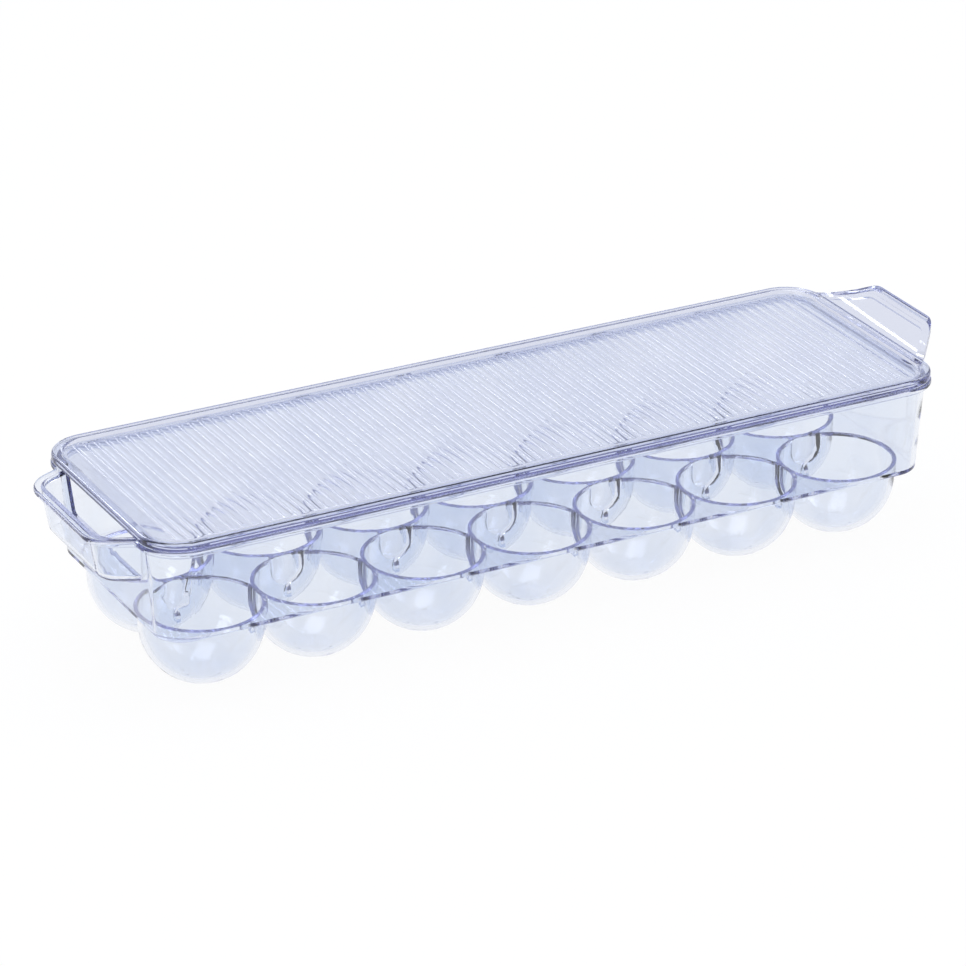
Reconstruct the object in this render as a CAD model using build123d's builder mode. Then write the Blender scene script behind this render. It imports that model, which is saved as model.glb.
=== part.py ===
"""A covered egg tray for a fridge shelf: a clear one-piece tray and its clear lift-off lid.

Frame: +X runs along the length towards the lid's pull tab, -X towards the tray's
finger pull, and +Z is up.  The origin lies on the shelf, under the middle of the part.
Every length is in millimetres and every angle in degrees.
"""

import math
import os

from build123d import *

# ---- Egg cups ----
cups_long = 7
cups_wide = 2
cup_pitch = 47.0  # spacing along the length
cross_pitch = 48.0  # spacing across, row to row
cup_radius = 24.3  # outside of the ball-shaped cup
cup_wall = 1.8
cup_floor = 2.0
cup_foot_radius = 7.6  # flat underside that the tray stands on
cup_centre_depth = 7.7  # deck face down to the centre of the ball
mouth_rounding = 0.8  # rolled edge round each cup's mouth

# ---- Bridges: where neighbouring cups join ----
bridge_depth = 13.4  # deck face down to the foot of the bridge
bridge_half_width = 7.5
bridge_reach = 1.6  # half-length of the bridge, from cup to cup
web_thickness = 2.0  # small web that ties two cups under their bridge
web_depth = 18.5  # deck face down to the web's lower edge

# ---- Basin above the cups ----
deck_thickness = 1.8
basin_wall = 1.8
basin_height = 37.6  # deck face up to the rim's face
basin_flare = 2.6  # how far each wall has leaned out at the rim
wall_margin = 24.9  # outer cups' centres to the walls, at the deck
base_corner = 12.0  # plan corner of the basin, at the deck
base_edge_round = 1.2  # rounding under the basin's outer edge

# ---- Rim of the tray ----
bead_height = 2.6
bead_overhang = 2.4
bead_round = 1.1

# ---- Finger pull at the tray's -X end ----
pull_reach = 14.9  # rim's end out to the pull's end
pull_root_margin = 1.4  # straight rim left between the pull and the rim's corner
pull_taper = 7.0  # how much each side draws in from root to tip
pull_tip_corner = 15.0
pull_root_blend = 1.8
pull_depth = 20.0  # rim's face down to the underside of the pull's floor
pull_lean = 3.3  # how far the pull's walls have leaned in at the floor
pull_floor_round = 4.2
pull_opening = 8.0  # how far the pull's outline runs into the basin

# ---- Lid ----
lid_gap = 0.3  # gap under the lid's frame
lid_setback = 0.4  # lid's edge inside the tray's rim, all round
lid_frame_height = 3.3
lid_frame_width = 4.8
lid_frame_round = 1.3  # both top edges of the frame
lid_foot_round = 0.7  # frame's outer edge, at the bottom
lid_panel = 1.8
locator_thickness = 1.6
locator_depth = 3.0
locator_clearance = 0.6  # locating ring to the tray's inner wall

# ---- Ribs on the lid's panel ----
rib_pitch = 4.7
rib_width = 2.4
rib_height = 0.2
rib_margin_side = 2.6  # frame to the ribs' ends
rib_margin_end = 3.0  # frame to the first and the last rib, at the least

# ---- Pull tab at the lid's +X end ----
tab_rise = 8.0  # lid's top up to the tab's tip
tab_curve = 1.4  # how far the tab hangs below a straight rise
tab_root_half_width = 43.6  # at the frame's inner line
tab_tip_half_width = 20.7
tab_tip_corner = 10.0
tab_plate = 1.8
tab_edge_width = 3.3
tab_edge_proud = 0.8  # tab's edge bead above its plate
tab_edge_below = 1.2  # tab's edge bead below its plate

# ---- Levels ----
overshoot = 1.0  # how far a cutter runs past the face it opens
cup_centre_z = math.sqrt(cup_radius**2 - cup_foot_radius**2)
deck_z = cup_centre_z + cup_centre_depth
bridge_centre_z = deck_z - bridge_depth + bridge_half_width
rim_z = deck_z + basin_height
lid_z = rim_z + lid_gap
lid_top = lid_z + lid_frame_height
panel_top = lid_z + lid_panel

# ---- Plan sizes ----
base_half_length = (cups_long - 1) * cup_pitch / 2 + wall_margin + basin_wall
base_half_width = (cups_wide - 1) * cross_pitch / 2 + wall_margin + basin_wall
rim_half_length = base_half_length + basin_flare + bead_overhang
rim_half_width = base_half_width + basin_flare + bead_overhang
rim_corner = base_corner + basin_flare + bead_overhang
panel_inset = lid_setback + lid_frame_width
tab_root_x = rim_half_length - panel_inset
pull_root_half_width = rim_half_width - rim_corner - pull_root_margin
pull_tip_half_width = pull_root_half_width - pull_taper
end_x = rim_half_length + pull_reach  # both ends reach equally far
pull_inner_x = -base_half_length + basin_wall + pull_opening

cup_places = GridLocations(cup_pitch, cross_pitch, cups_long, cups_wide)
bridges_along = GridLocations(cup_pitch, cross_pitch, cups_long - 1, cups_wide)
bridges_across = GridLocations(cup_pitch, cross_pitch, cups_long, cups_wide - 1)


def basin_outline(height, inset):
    """The basin's rounded rectangle at a height, moved in from its outer face."""
    grow = basin_flare * (height - deck_z) / basin_height - inset
    with BuildSketch() as outline:
        RectangleRounded(
            2 * (base_half_length + grow),
            2 * (base_half_width + grow),
            base_corner + grow,
        )
    return outline.sketch


def rim_rectangle(inset):
    """The rim's rounded rectangle without its finger pull, moved in from its edge."""
    with BuildSketch() as outline:
        RectangleRounded(
            2 * (rim_half_length - inset),
            2 * (rim_half_width - inset),
            rim_corner - inset,
        )
    return outline.sketch


def pull_outline(inset):
    """The finger pull in plan, moved in from the rim's edge."""
    slope = pull_taper / pull_reach
    inner_half_width = pull_tip_half_width + slope * (pull_inner_x + end_x)
    with BuildSketch() as outline:
        with BuildLine():
            Polyline(
                (-end_x, -pull_tip_half_width),
                (pull_inner_x, -inner_half_width),
                (pull_inner_x, inner_half_width),
                (-end_x, pull_tip_half_width),
                close=True,
            )
        make_face()
        fillet(outline.vertices().group_by(Axis.X)[0], pull_tip_corner)
        if inset:
            offset(amount=-inset, mode=Mode.REPLACE)
    return outline.sketch


def pull_well(inset, top):
    """The finger pull's leaning walls and floor, moved inwards, up to a level."""
    floor_z = rim_z - pull_depth + inset
    with BuildPart() as well:
        for height in (floor_z, top):
            draw_in = pull_lean * (rim_z - height) / pull_depth
            with BuildSketch(Plane.XY.offset(height)):
                add(pull_outline(bead_overhang + inset + draw_in))
        loft()
        floor_edges = well.faces().sort_by(Axis.Z)[0].edges().sort_by(Axis.X)
        fillet(floor_edges[:-1], pull_floor_round - inset)
    return well.part


def cup_arc(radius, floor_z):
    """The ball's outline from a flat floor up to the level of its centre."""
    angle = math.degrees(math.asin((cup_centre_z - floor_z) / radius))
    return CenterArc((0, cup_centre_z), radius, -angle, angle)


def tab_outline(inset):
    """The pull tab in plan, moved in from its free edge."""
    slope = (tab_root_half_width - tab_tip_half_width) / (end_x - tab_root_x)
    inner_x = tab_root_x - tab_edge_width
    inner_half_width = tab_tip_half_width + slope * (end_x - inner_x)
    with BuildSketch() as outline:
        with BuildLine():
            Polyline(
                (end_x, -tab_tip_half_width),
                (inner_x, -inner_half_width),
                (inner_x, inner_half_width),
                (end_x, tab_tip_half_width),
                close=True,
            )
        make_face()
        fillet(outline.vertices().group_by(Axis.X)[-1], tab_tip_corner)
        if inset:
            offset(amount=-inset, mode=Mode.REPLACE)
    return outline.sketch


def tab_section(above, below):
    """The pull tab from the side: a plate that curves up from the frame to its tip."""
    edge_x = rim_half_length - lid_setback - lid_frame_round
    tip_z = lid_top + tab_rise - tab_edge_proud
    with BuildSketch(Plane.XZ) as section:
        with BuildLine():
            top = SagittaArc((tab_root_x, lid_top), (end_x, tip_z + above), -tab_curve)
            under = SagittaArc(
                (edge_x, lid_top - tab_plate),
                (end_x, tip_z - tab_plate - below),
                -tab_curve,
            )
            Line(top @ 1, under @ 1)
            Polyline(under @ 0, (tab_root_x, lid_top - tab_plate), top @ 0)
        make_face()
    return section.sketch


# ---- Shapes used many times in the tray ----
with BuildPart() as cup_body:
    with BuildSketch(Plane.XZ):
        with BuildLine():
            ball = cup_arc(cup_radius, 0)
            Polyline(ball @ 1, (cup_radius, deck_z), (0, deck_z), (0, 0), ball @ 0)
        make_face()
    revolve(axis=Axis.Z)

with BuildPart() as cup_cavity:
    cavity_radius = cup_radius - cup_wall
    mouth_radius = cavity_radius + mouth_rounding
    with BuildSketch(Plane.XZ):
        with BuildLine():
            ball = cup_arc(cavity_radius, cup_floor)
            roll = CenterArc((mouth_radius, deck_z - mouth_rounding), mouth_rounding, 180, -90)
            Line(ball @ 1, roll @ 0)
            Polyline(
                roll @ 1,
                (mouth_radius, deck_z + overshoot),
                (0, deck_z + overshoot),
                (0, cup_floor),
                ball @ 0,
            )
        make_face()
    revolve(axis=Axis.Z)

with BuildPart() as cup_bridge:
    with BuildSketch(Plane.YZ):
        with Locations((0, bridge_centre_z)):
            Circle(bridge_half_width)
            Rectangle(
                2 * bridge_half_width,
                deck_z - bridge_centre_z,
                align=(Align.CENTER, Align.MIN),
            )
        with Locations((0, deck_z - web_depth)):
            Rectangle(
                web_thickness,
                web_depth - bridge_depth + bridge_half_width,
                align=(Align.CENTER, Align.MIN),
            )
    extrude(amount=bridge_reach, both=True)

with BuildPart() as cup_cavities:
    with cup_places:
        add(cup_cavity.part)
    with BuildSketch():
        add(basin_outline(deck_z, basin_wall))
    extrude(amount=deck_z + overshoot, mode=Mode.INTERSECT)

with BuildPart() as basin_body:
    for height in (deck_z - deck_thickness, rim_z):
        with BuildSketch(Plane.XY.offset(height)):
            add(basin_outline(height, 0))
    loft()
    fillet(basin_body.faces().sort_by(Axis.Z)[0].edges(), base_edge_round)

with BuildPart() as basin_cavity:
    for height in (deck_z, rim_z + overshoot):
        with BuildSketch(Plane.XY.offset(height)):
            add(basin_outline(height, basin_wall))
    loft()

with BuildPart() as rim_bead:
    with BuildSketch(Plane.XY.offset(rim_z - bead_height)) as bead_outline:
        add(rim_rectangle(0))
        add(pull_outline(0))
        roots = bead_outline.vertices().group_by(Axis.X)[2].sort_by(Axis.Y)[1:3]
        fillet(roots, pull_root_blend)
    extrude(amount=bead_height)
    fillet(rim_bead.faces().filter_by(Axis.Z).edges(), bead_round)

# ---- Tray: cups, basin, rim and finger pull in one moulding ----
with BuildPart() as tray:
    add(basin_body.part)
    add(rim_bead.part)
    add(pull_well(0, rim_z))
    with cup_places:
        add(cup_body.part)
    with bridges_along:
        add(cup_bridge.part)
    with bridges_across:
        add(cup_bridge.part, rotation=(0, 0, 90))
    add(basin_cavity.part, mode=Mode.SUBTRACT)
    add(pull_well(basin_wall, rim_z + overshoot), mode=Mode.SUBTRACT)
    add(cup_cavities.part, mode=Mode.SUBTRACT)

# ---- Shapes used in the lid ----
with BuildPart() as tab_edge:
    with BuildSketch(Plane.XZ):
        add(tab_section(tab_edge_proud, tab_edge_below))
    extrude(amount=rim_half_width, both=True)
    with BuildSketch():
        add(tab_outline(0))
        add(tab_outline(tab_edge_width), mode=Mode.SUBTRACT)
    extrude(amount=lid_top + 2 * tab_rise, mode=Mode.INTERSECT)

with BuildPart() as tab:
    with BuildSketch(Plane.XZ):
        add(tab_section(0, 0))
    extrude(amount=rim_half_width, both=True)
    with BuildSketch():
        add(tab_outline(0))
    extrude(amount=lid_top + 2 * tab_rise, mode=Mode.INTERSECT)
    add(tab_edge.part)

with BuildPart() as rib:
    with BuildSketch(Plane.XZ):
        with BuildLine():
            rib_feet = ((-rib_width / 2, panel_top), (rib_width / 2, panel_top))
            SagittaArc(*rib_feet, rib_height)
            Line(*rib_feet)
        make_face()
    extrude(amount=rim_half_width - panel_inset - rib_margin_side, both=True)

ribs_span = 2 * (rim_half_length - panel_inset - rib_margin_end)
rib_count = int(ribs_span / rib_pitch) + 1

# ---- Lid: frame, ribbed panel, locating ring and pull tab in one moulding ----
with BuildPart() as lid:
    with BuildSketch(Plane.XY.offset(lid_z)):
        add(rim_rectangle(lid_setback))
        add(rim_rectangle(panel_inset), mode=Mode.SUBTRACT)
    extrude(amount=lid_frame_height)
    fillet(lid.faces().sort_by(Axis.Z)[-1].edges(), lid_frame_round)
    fillet(lid.faces().sort_by(Axis.Z)[0].outer_wire().edges(), lid_foot_round)
    with BuildSketch(Plane.XY.offset(lid_z)):
        add(rim_rectangle(panel_inset))
    extrude(amount=lid_panel)
    with BuildSketch(Plane.XY.offset(lid_z)):
        add(basin_outline(rim_z, basin_wall + locator_clearance))
        add(
            basin_outline(rim_z, basin_wall + locator_clearance + locator_thickness),
            mode=Mode.SUBTRACT,
        )
    extrude(amount=-locator_depth)
    with GridLocations(rib_pitch, 0, rib_count, 1):
        add(rib.part)
    add(tab.part)

os.makedirs("parts", exist_ok=True)
for name, piece in (("tray", tray), ("lid", lid)):
    piece.part.label = name
    export_step(piece.part, f"parts/{name}.step")
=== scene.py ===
"""A clear moulded egg tray with a lift-off ribbed lid: its plastics, ribs and studio."""

import math
from functools import partial

import bmesh
import bpy
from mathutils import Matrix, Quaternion, Vector


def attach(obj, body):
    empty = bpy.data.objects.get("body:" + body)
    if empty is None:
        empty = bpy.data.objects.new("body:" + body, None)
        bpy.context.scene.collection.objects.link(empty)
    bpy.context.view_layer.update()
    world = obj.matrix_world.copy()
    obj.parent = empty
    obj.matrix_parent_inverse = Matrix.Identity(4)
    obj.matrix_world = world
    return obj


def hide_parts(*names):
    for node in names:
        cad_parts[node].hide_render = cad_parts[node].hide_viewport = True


# ---- View: where the camera stands, in degrees and metres ----
VIEW_AZIMUTH = -28.13
VIEW_ELEVATION = 24.94
VIEW_DISTANCE = 1.817
VIEW_AIM = (-0.0041, 0.0061, 0.0377)
VIEW_LENS = 171.4  # mm
VIEW_SENSOR = 36.0  # mm
VIEW_NEAR, VIEW_FAR = 0.1, 50.0

# ---- Clear plastic ----
PLASTIC_IOR = 1.57
DEPTH_TINT = (0.45, 0.46, 0.72, 1.0)  # what thick plastic turns white light to
DEPTH_DENSITY = 23.0  # per metre of plastic
# tints where the melt flowed full, and where it ran thin
TRAY_TINTS = ((0.845, 0.885, 0.95, 1.0), (0.935, 0.955, 0.98, 1.0))
LID_TINTS = ((0.75, 0.775, 0.87, 1.0), (0.79, 0.815, 0.895, 1.0))
POLISH = 0.004  # roughness of the polished mould
HAZE = 0.016  # roughness that handling adds in patches
TRAY_RIPPLE = 0.0001  # metres that the cooled faces ripple
LID_RIPPLE = TRAY_RIPPLE / 5

# ---- Patterns in the plastic: scale per metre and detail of each noise ----
FLOW_STRETCH = (1.0, 1.0, 0.35)  # the melt's marks are drawn out up the walls
FLOW_MARKS = (40, 2)
HAZE_PATCHES = (45, 4)
SLOW_RIPPLE = (32, 1)
QUICK_RIPPLE = (150, 2)
QUICK_SHARE = 0.25  # height of the quick ripple against the slow one
NOISE_MIDDLE = (0.3, 0.7)  # a noise's factor mostly stays within these

# ---- Ribs on the lid's panel, in metres ----
PANEL_TOP = 0.070481  # height of the panel between its ribs
PANEL_HALF = (0.1675, 0.0505)  # to the lid's frame, along and across
RIB_COUNT = 74
RIB_PITCH = 0.004387
RIB_WIDTH = 0.0024
RIB_HEIGHT = 0.0002
RIB_HALF_LENGTH = 0.0479
RIB_END = 0.0008  # length over which a rib's end runs out
RIB_POINTS = 9  # across a rib's crown

# ---- Meshes ----
SMOOTH_ANGLE = math.radians(50)
FLAT_WEIGHT = 100  # how far large flat faces rule the shading beside them
WELD_DISTANCE = 2e-6
HAIR = 1e-5  # how far off a point may be and still count as in place
FILL_SCALE = 1000  # the fill skips short edges, so it works on an enlarged mesh

# ---- Studio, in metres ----
FLOOR_SIZE = 30.0
FLOOR_DROP = 0.0003  # below the tray's feet, so that the two don't flicker
FLOOR_PAPER = (0.92, 0.92, 0.92, 1.0)
FLOOR_SHADOW = 0.04  # share of the floor that takes light and shadow
BACKDROP_WHITE = (1.0, 1.0, 1.0, 1.0)
# the room's colour at a direction's rise, which is 0 level and 1 straight up
ROOM_HORIZON = (0.3, (0.90, 0.93, 1.0, 1.0))
ROOM_OVERHEAD = (0.8, (0.62, 0.67, 0.84, 1.0))
LIGHT_BOUNCES = 40
LAMP_AIM = (0.0, 0.0, 0.04)
# name, place, size, brightness of its face, and roll in degrees
LAMPS = (
    ("overhead_softbox", (-0.1, 0.1, 1.7), (1.5, 0.9), 2.2, 0),
    ("back_strip", (0.45, 1.6, 1.17), (1.0, 0.05), 5.0, -13),
    ("low_back_strip", (1.15, 1.6, 0.34), (0.9, 0.05), 2.0, 16),
    ("left_softbox", (-1.7, -0.5, 0.8), (0.8, 0.9), 2.6, 0),
    ("right_softbox", (1.35, -0.3, 1.4), (0.7, 0.9), 2.2, 0),
)

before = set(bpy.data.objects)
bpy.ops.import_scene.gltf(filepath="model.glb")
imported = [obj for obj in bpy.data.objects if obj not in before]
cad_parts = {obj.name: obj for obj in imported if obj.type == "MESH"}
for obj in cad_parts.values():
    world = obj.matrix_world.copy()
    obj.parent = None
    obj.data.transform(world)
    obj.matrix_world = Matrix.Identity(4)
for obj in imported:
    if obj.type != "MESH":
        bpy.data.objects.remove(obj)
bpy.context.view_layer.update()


def place_camera():
    """A long lens on the front left, looking down on the tray."""
    azimuth, elevation = math.radians(VIEW_AZIMUTH), math.radians(VIEW_ELEVATION)
    back = Vector(
        (
            math.sin(azimuth) * math.cos(elevation),
            -math.cos(azimuth) * math.cos(elevation),
            math.sin(elevation),
        )
    )
    camera = bpy.data.objects.new("camera", bpy.data.cameras.new("camera"))
    camera.data.lens = VIEW_LENS
    camera.data.sensor_width = VIEW_SENSOR
    camera.data.clip_start = VIEW_NEAR
    camera.data.clip_end = VIEW_FAR
    camera.location = Vector(VIEW_AIM) + back * VIEW_DISTANCE
    camera.rotation_euler = (-back).to_track_quat("-Z", "Y").to_euler()
    bpy.context.scene.collection.objects.link(camera)
    bpy.context.scene.camera = camera


def empty_tree(owner):
    """A material's or a world's node tree, cleared."""
    owner.use_nodes = True
    owner.node_tree.nodes.clear()
    return owner.node_tree


def node_group(name, kind, inputs, outputs):
    """A new node group with its named sockets, and the sockets at its two ends."""
    tree = bpy.data.node_groups.new(name, kind)
    for way, sockets in (("INPUT", inputs), ("OUTPUT", outputs)):
        for label, value in sockets.items():
            tree.interface.new_socket(label, in_out=way, socket_type="NodeSocket" + value)
    given = tree.nodes.new("NodeGroupInput").outputs
    result = tree.nodes.new("NodeGroupOutput").inputs
    return tree, given, result


def feed(tree, socket, source):
    """Put a plain number on a socket, or link another socket into it."""
    if isinstance(source, (int, float)):
        socket.default_value = source
    else:
        tree.links.new(source, socket)


def work(tree, operation, *terms):
    """One step of arithmetic on sockets and plain numbers."""
    step = tree.nodes.new("ShaderNodeMath")
    step.operation = operation
    for socket, term in zip(step.inputs, terms):
        feed(tree, socket, term)
    return step.outputs["Value"]


def point(tree, x, y, z):
    """A vector from its three parts, each a socket or a plain number."""
    joined = tree.nodes.new("ShaderNodeCombineXYZ")
    for socket, part in zip(joined.inputs, (x, y, z)):
        feed(tree, socket, part)
    return joined.outputs["Vector"]


def noise(tree, vector, pattern):
    """The factor of a noise with a pattern's scale and detail."""
    scale, detail = pattern
    texture = tree.nodes.new("ShaderNodeTexNoise")
    texture.inputs["Scale"].default_value = scale
    texture.inputs["Detail"].default_value = detail
    tree.links.new(vector, texture.inputs["Vector"])
    return texture.outputs["Fac"]


def spread(tree, factor):
    """A noise's factor with its middle range stretched from nought to one."""
    low, high = NOISE_MIDDLE
    stretch = tree.nodes.new("ShaderNodeMapRange")
    stretch.inputs["From Min"].default_value = low
    stretch.inputs["From Max"].default_value = high
    tree.links.new(factor, stretch.inputs["Value"])
    return stretch.outputs["Result"]


def moulded_face_group():
    """Flow tint, patchy haze and the slow ripple of a cooled moulding, as one group."""
    tree, given, result = node_group(
        "moulded_face",
        "ShaderNodeTree",
        {
            "Place": "Vector",
            "Full Tint": "Color",
            "Thin Tint": "Color",
            "Polish": "Float",
            "Haze": "Float",
        },
        {"Tint": "Color", "Roughness": "Float", "Ripple": "Float"},
    )
    mapping = tree.nodes.new("ShaderNodeMapping")
    mapping.inputs["Scale"].default_value = FLOW_STRETCH
    tree.links.new(given["Place"], mapping.inputs["Vector"])
    drawn_out = mapping.outputs["Vector"]

    tint = tree.nodes.new("ShaderNodeMix")
    tint.data_type = "RGBA"
    full, thin = [socket for socket in tint.inputs if socket.type == "RGBA"]
    mixed = [socket for socket in tint.outputs if socket.type == "RGBA"][0]
    flow = spread(tree, noise(tree, drawn_out, FLOW_MARKS))
    tree.links.new(flow, tint.inputs["Factor"])
    tree.links.new(given["Full Tint"], full)
    tree.links.new(given["Thin Tint"], thin)
    tree.links.new(mixed, result["Tint"])

    patches = spread(tree, noise(tree, given["Place"], HAZE_PATCHES))
    roughness = work(tree, "MULTIPLY_ADD", patches, given["Haze"], given["Polish"])
    tree.links.new(roughness, result["Roughness"])

    slow = noise(tree, given["Place"], SLOW_RIPPLE)
    quick = noise(tree, drawn_out, QUICK_RIPPLE)
    ripple = work(tree, "MULTIPLY_ADD", quick, QUICK_SHARE, slow)
    tree.links.new(ripple, result["Ripple"])
    return tree


def clear_plastic(name, group, tints, ripple):
    """Clear moulded plastic whose tint deepens with the thickness that light crosses."""
    material = bpy.data.materials.new(name)
    tree = empty_tree(material)
    nodes, links = tree.nodes, tree.links
    output = nodes.new("ShaderNodeOutputMaterial")
    shader = nodes.new("ShaderNodeBsdfPrincipled")
    shader.inputs["IOR"].default_value = PLASTIC_IOR
    shader.inputs["Transmission Weight"].default_value = 1.0

    place = nodes.new("ShaderNodeTexCoord")
    face = nodes.new("ShaderNodeGroup")
    face.node_tree = group
    full, thin = tints
    face.inputs["Full Tint"].default_value = full
    face.inputs["Thin Tint"].default_value = thin
    face.inputs["Polish"].default_value = POLISH
    face.inputs["Haze"].default_value = HAZE
    links.new(place.outputs["Object"], face.inputs["Place"])
    links.new(face.outputs["Tint"], shader.inputs["Base Color"])
    links.new(face.outputs["Roughness"], shader.inputs["Roughness"])

    bump = nodes.new("ShaderNodeBump")
    bump.inputs["Strength"].default_value = 1.0
    bump.inputs["Distance"].default_value = ripple
    links.new(face.outputs["Ripple"], bump.inputs["Height"])
    links.new(bump.outputs["Normal"], shader.inputs["Normal"])

    depth = nodes.new("ShaderNodeVolumeAbsorption")
    depth.inputs["Color"].default_value = DEPTH_TINT
    depth.inputs["Density"].default_value = DEPTH_DENSITY
    links.new(shader.outputs["BSDF"], output.inputs["Surface"])
    links.new(depth.outputs["Volume"], output.inputs["Volume"])
    return material


def rib_strip(tree, given):
    """One shallow crowned rib along Y at the origin, as an open strip."""
    # the strip starts out flat, with five rows of points from -1 to 1 along Y
    strip = tree.nodes.new("GeometryNodeMeshGrid")
    strip.inputs["Size Y"].default_value = 2.0
    strip.inputs["Vertices X"].default_value = RIB_POINTS
    strip.inputs["Vertices Y"].default_value = 5
    tree.links.new(given["Width"], strip.inputs["Size X"])
    position = tree.nodes.new("GeometryNodeInputPosition")
    parts = tree.nodes.new("ShaderNodeSeparateXYZ")
    tree.links.new(position.outputs["Position"], parts.inputs["Vector"])
    x, y = parts.outputs["X"], parts.outputs["Y"]
    step = partial(work, tree)

    # the rows move to the rib's middle, to where its ends start to run out, and to its ends
    along = step("ABSOLUTE", y)
    from_end = step("SUBTRACT", 1.0, along)
    run_out = step("MULTIPLY", given["Run Out"], 2.0)
    reach = step("SUBTRACT", step("MULTIPLY", given["Half Length"], 2.0), run_out)
    near_end = step("SUBTRACT", given["Half Length"], step("MULTIPLY", run_out, from_end))
    length = step("MINIMUM", step("MULTIPLY", along, reach), near_end)

    # the crown is a parabola across the rib, which sinks to nothing at the ends
    side = step("DIVIDE", step("MULTIPLY", x, 2.0), given["Width"])
    crown = step("SUBTRACT", 1.0, step("MULTIPLY", side, side))
    fade = step("MINIMUM", step("MULTIPLY", from_end, 2.0), 1.0)
    rise = step("MULTIPLY", step("MULTIPLY", crown, fade), given["Height"])

    shaped = tree.nodes.new("GeometryNodeSetPosition")
    moved = point(tree, x, step("MULTIPLY", length, step("SIGN", y)), rise)
    tree.links.new(strip.outputs["Mesh"], shaped.inputs["Geometry"])
    tree.links.new(moved, shaped.inputs["Position"])
    return shaped.outputs["Geometry"]


def rib_places(tree, given):
    """A row of points along the panel, one for each rib."""
    row = tree.nodes.new("GeometryNodeMeshLine")
    row.mode = "END_POINTS"
    row_end = work(tree, "MULTIPLY", given["Span"], 0.5)
    row_start = work(tree, "MULTIPLY", row_end, -1.0)
    tree.links.new(given["Count"], row.inputs["Count"])
    tree.links.new(point(tree, row_start, 0.0, given["Level"]), row.inputs["Start Location"])
    # in this mode the offset socket holds the row's other end
    tree.links.new(point(tree, row_end, 0.0, given["Level"]), row.inputs["Offset"])
    return row.outputs["Mesh"]


def rib_tree():
    """Geometry Nodes for the lid's row of ribs."""
    tree, given, result = node_group(
        "rib_row",
        "GeometryNodeTree",
        {
            "Count": "Int",
            "Span": "Float",
            "Level": "Float",
            "Width": "Float",
            "Height": "Float",
            "Half Length": "Float",
            "Run Out": "Float",
            "Plastic": "Material",
        },
        {"Ribs": "Geometry"},
    )
    copies = tree.nodes.new("GeometryNodeInstanceOnPoints")
    real = tree.nodes.new("GeometryNodeRealizeInstances")
    dressed = tree.nodes.new("GeometryNodeSetMaterial")
    tree.links.new(rib_places(tree, given), copies.inputs["Points"])
    tree.links.new(rib_strip(tree, given), copies.inputs["Instance"])
    tree.links.new(copies.outputs["Instances"], real.inputs["Geometry"])
    tree.links.new(real.outputs["Geometry"], dressed.inputs["Geometry"])
    tree.links.new(given["Plastic"], dressed.inputs["Material"])
    tree.links.new(dressed.outputs["Geometry"], result["Ribs"])
    return tree


def rib_row(material):
    """The lid's ribs as one plain mesh."""
    tree = rib_tree()
    sizes = {
        "Count": RIB_COUNT,
        "Span": RIB_PITCH * (RIB_COUNT - 1),
        "Level": PANEL_TOP,
        "Width": RIB_WIDTH,
        "Height": RIB_HEIGHT,
        "Half Length": RIB_HALF_LENGTH,
        "Run Out": RIB_END,
        "Plastic": material,
    }
    maker = bpy.data.objects.new("rib_maker", bpy.data.meshes.new("rib_maker"))
    bpy.context.scene.collection.objects.link(maker)
    modifier = maker.modifiers.new("rib_row", "NODES")
    modifier.node_group = tree
    for socket in tree.interface.items_tree:
        if socket.in_out == "INPUT":
            modifier[socket.identifier] = sizes[socket.name]
    made = maker.evaluated_get(bpy.context.evaluated_depsgraph_get())
    ribs = bpy.data.meshes.new_from_object(made)
    bpy.data.objects.remove(maker)
    return ribs


def in_old_panel(face):
    """Whether a face belongs to the solid's panel top or to one of its ribs."""
    corners = [vert.co for vert in face.verts]
    flat = all(
        abs(corner.z - PANEL_TOP) < HAIR
        and abs(corner.x) < PANEL_HALF[0] + HAIR
        and abs(corner.y) < PANEL_HALF[1] + HAIR
        for corner in corners
    )
    ribbed = all(
        PANEL_TOP - HAIR < corner.z < PANEL_TOP + RIB_HEIGHT + HAIR
        and abs(corner.x) < PANEL_HALF[0] - HAIR
        and abs(corner.y) < RIB_HALF_LENGTH + HAIR
        for corner in corners
    )
    return flat or ribbed


def ribbed_panel(shape, material):
    """The panel's top surface renewed, with its ribs welded into it."""
    old_faces = [face for face in shape.faces if in_old_panel(face)]
    bmesh.ops.delete(shape, geom=old_faces, context="FACES")
    # the solid's end ribs ran up the frame's corners, and the new ones stop short
    for vert in shape.verts:
        if vert.is_boundary:
            vert.co.z = PANEL_TOP
    ribs = rib_row(material)
    shape.from_mesh(ribs)
    bpy.data.meshes.remove(ribs)
    open_edges = [edge for edge in shape.edges if edge.is_boundary]
    bmesh.ops.scale(shape, vec=[FILL_SCALE] * 3, verts=shape.verts)
    bmesh.ops.triangle_fill(
        shape, edges=open_edges, normal=(0, 0, 1), use_beauty=True, use_dissolve=False
    )
    bmesh.ops.recalc_face_normals(shape, faces=shape.faces)
    bmesh.ops.scale(shape, vec=[1 / FILL_SCALE] * 3, verts=shape.verts)


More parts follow.
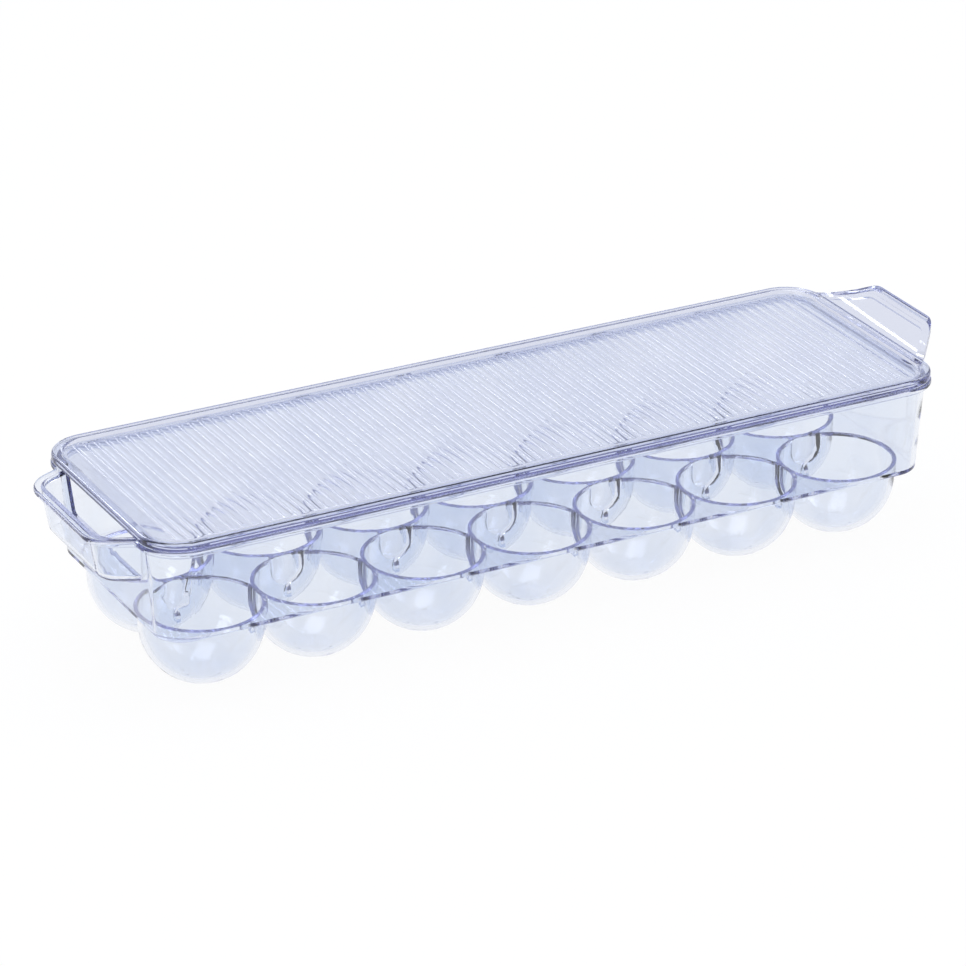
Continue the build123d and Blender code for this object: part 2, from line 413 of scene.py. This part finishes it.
def moulding(node, material, finish=None):
    """A welded, smooth-shaded copy of a solid's mesh in its plastic."""
    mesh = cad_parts[node].data.copy()
    mesh.name = node + "_moulding"
    # normals stored with the solid would override the smoothing below
    if mesh.has_custom_normals:
        mesh.attributes.remove(mesh.attributes["custom_normal"])
    shape = bmesh.new()
    shape.from_mesh(mesh)
    bmesh.ops.remove_doubles(shape, verts=shape.verts, dist=WELD_DISTANCE)
    if finish:
        finish(shape, material)
    shape.to_mesh(mesh)
    shape.free()
    mesh.shade_smooth()
    mesh.set_sharp_from_angle(angle=SMOOTH_ANGLE)
    mesh.materials.clear()
    mesh.materials.append(material)
    piece = bpy.data.objects.new(node + "_moulding", mesh)
    bpy.context.scene.collection.objects.link(piece)
    flats = piece.modifiers.new("flat_faces_stay_flat", "WEIGHTED_NORMAL")
    flats.mode = "FACE_AREA"
    flats.weight = FLAT_WEIGHT
    flats.keep_sharp = True
    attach(piece, node)
    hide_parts(node)


def sight_mask(tree):
    """One for rays that the camera sends straight or by way of the clear plastic."""
    path = tree.nodes.new("ShaderNodeLightPath").outputs
    by_plastic = work(tree, "MAXIMUM", path["Is Transmission Ray"], path["Is Glossy Ray"])
    return work(tree, "MAXIMUM", path["Is Camera Ray"], by_plastic)


def set_floor():
    """A plain white floor that keeps a faint shadow."""
    bpy.ops.mesh.primitive_plane_add(size=FLOOR_SIZE, location=(0, 0, -FLOOR_DROP))
    floor = bpy.context.object
    floor.name = "floor"
    material = bpy.data.materials.new("floor_white")
    tree = empty_tree(material)
    nodes, links = tree.nodes, tree.links
    output = nodes.new("ShaderNodeOutputMaterial")
    paper = nodes.new("ShaderNodeBsdfDiffuse")
    paper.inputs["Color"].default_value = FLOOR_PAPER
    # the camera sees pure white with a share of the lit paper, and bounced light meets only paper
    white = nodes.new("ShaderNodeEmission")
    seen = nodes.new("ShaderNodeMixShader")
    seen.inputs["Fac"].default_value = FLOOR_SHADOW
    links.new(white.outputs["Emission"], seen.inputs[1])
    links.new(paper.outputs["BSDF"], seen.inputs[2])
    surface = nodes.new("ShaderNodeMixShader")
    links.new(sight_mask(tree), surface.inputs["Fac"])
    links.new(paper.outputs["BSDF"], surface.inputs[1])
    links.new(seen.outputs["Shader"], surface.inputs[2])
    links.new(surface.outputs["Shader"], output.inputs["Surface"])
    floor.data.materials.append(material)


def set_world():
    """A white backdrop for the camera, in a room that turns bluer overhead."""
    world = bpy.data.worlds.new("studio")
    bpy.context.scene.world = world
    tree = empty_tree(world)
    nodes, links = tree.nodes, tree.links
    output = nodes.new("ShaderNodeOutputWorld")
    backdrop = nodes.new("ShaderNodeBackground")
    backdrop.inputs["Color"].default_value = BACKDROP_WHITE
    direction = nodes.new("ShaderNodeTexCoord")
    split = nodes.new("ShaderNodeSeparateXYZ")
    links.new(direction.outputs["Generated"], split.inputs["Vector"])
    fade = nodes.new("ShaderNodeValToRGB")
    for stop, given in zip(fade.color_ramp.elements, (ROOM_HORIZON, ROOM_OVERHEAD)):
        stop.position, stop.color = given
    links.new(split.outputs["Z"], fade.inputs["Fac"])
    room = nodes.new("ShaderNodeBackground")
    links.new(fade.outputs["Color"], room.inputs["Color"])
    path = nodes.new("ShaderNodeLightPath")
    either = nodes.new("ShaderNodeMixShader")
    links.new(path.outputs["Is Camera Ray"], either.inputs["Fac"])
    links.new(room.outputs["Background"], either.inputs[1])
    links.new(backdrop.outputs["Background"], either.inputs[2])
    links.new(either.outputs["Shader"], output.inputs["Surface"])


def softbox(name, place, size, glow, roll):
    """A soft rectangular lamp aimed at the tray, with a face of the given brightness."""
    lamp = bpy.data.lights.new(name, "AREA")
    lamp.shape = "RECTANGLE"
    width, height = size
    lamp.size, lamp.size_y = width, height
    lamp.energy = glow * math.pi * width * height
    rig = bpy.data.objects.new(name, lamp)
    rig.location = place
    aim = (Vector(LAMP_AIM) - Vector(place)).to_track_quat("-Z", "Y")
    rig.rotation_euler = (aim @ Quaternion((0, 0, 1), math.radians(roll))).to_euler()
    bpy.context.scene.collection.objects.link(rig)


place_camera()
set_floor()
set_world()
for lamp in LAMPS:
    softbox(*lamp)

moulded_face = moulded_face_group()
tray_plastic = clear_plastic("clear_tray_plastic", moulded_face, TRAY_TINTS, TRAY_RIPPLE)
lid_plastic = clear_plastic("clear_lid_plastic", moulded_face, LID_TINTS, LID_RIPPLE)
moulding("tray", tray_plastic)
moulding("lid", lid_plastic, ribbed_panel)

bpy.context.scene.view_settings.view_transform = "Standard"
cycles = bpy.context.scene.cycles
cycles.max_bounces = LIGHT_BOUNCES
cycles.transmission_bounces = LIGHT_BOUNCES
cycles.glossy_bounces = LIGHT_BOUNCES
